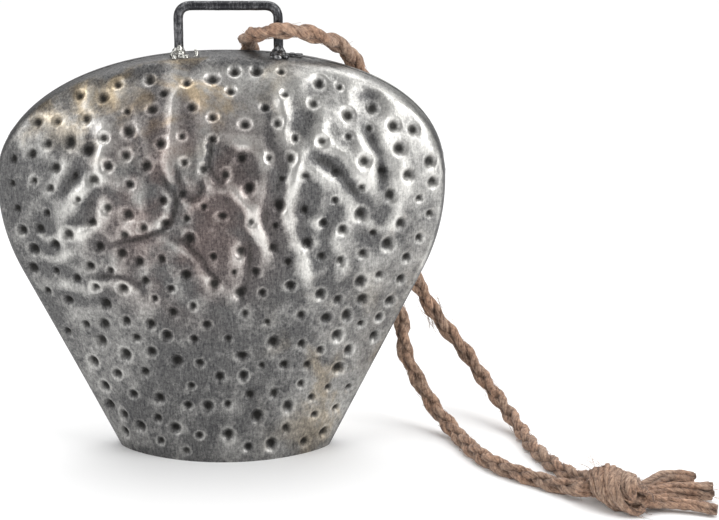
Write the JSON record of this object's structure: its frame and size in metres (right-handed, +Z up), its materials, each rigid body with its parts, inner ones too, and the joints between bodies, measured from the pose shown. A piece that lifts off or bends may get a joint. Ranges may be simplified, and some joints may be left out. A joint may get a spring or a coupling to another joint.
{
  "type": "dinner bell",
  "caption": "Hammered sheet-metal dinner bell with a square wire handle, a free-swinging ball clapper and a knotted loop of plaited jute.",
  "frame": {"origin": "middle of the mouth plane, which is the surface the bell stands on, under the middle of the bell's width and depth, cord left out", "axes": "+Z up from the mouth to the handle, +X to the right along the wide side, +Y from the front face to the back face, so the front face looks toward -Y"},
  "size_m": [0.3137, 0.1558, 0.2038],
  "materials": {
    "pewter": "hammered antique pewter patina",
    "solder": "bright rough braze",
    "dark_steel": "dark drawn wire",
    "iron": "dull dark iron",
    "jute": "plaited jute fibre"
  },
  "bodies": {
    "bell": {"front_shell": "pewter", "back_shell": "pewter", "seam_braze": "solder", "handle_wire": "dark_steel", "handle_weld_left": "solder", "handle_weld_right": "solder", "clapper_staple": "iron", "staple_weld_left": "solder", "staple_weld_right": "solder", "cord": "jute", "cord_knot": "jute", "cord_tail_upper": "jute", "cord_tail_middle": "jute", "cord_tail_lower": "jute"},
    "ring": {"hanger_ring": "iron"},
    "clapper": {"clapper_rod": "dark_steel", "clapper_ball": "iron", "clapper_peen": "dark_steel"}
  },
  "joints": [
    {"name": "ring_swing", "type": "hinge", "parent": "bell", "child": "ring", "pos_m": [0, 0, 0.166], "axis": [1, 0, 0], "range_deg": [-7, 7]},
    {"name": "clapper_swing", "type": "hinge", "parent": "ring", "child": "clapper", "pos_m": [0, 0, 0.1568], "axis": [0, 1, 0], "range_deg": [-10, 10]}
  ]
}
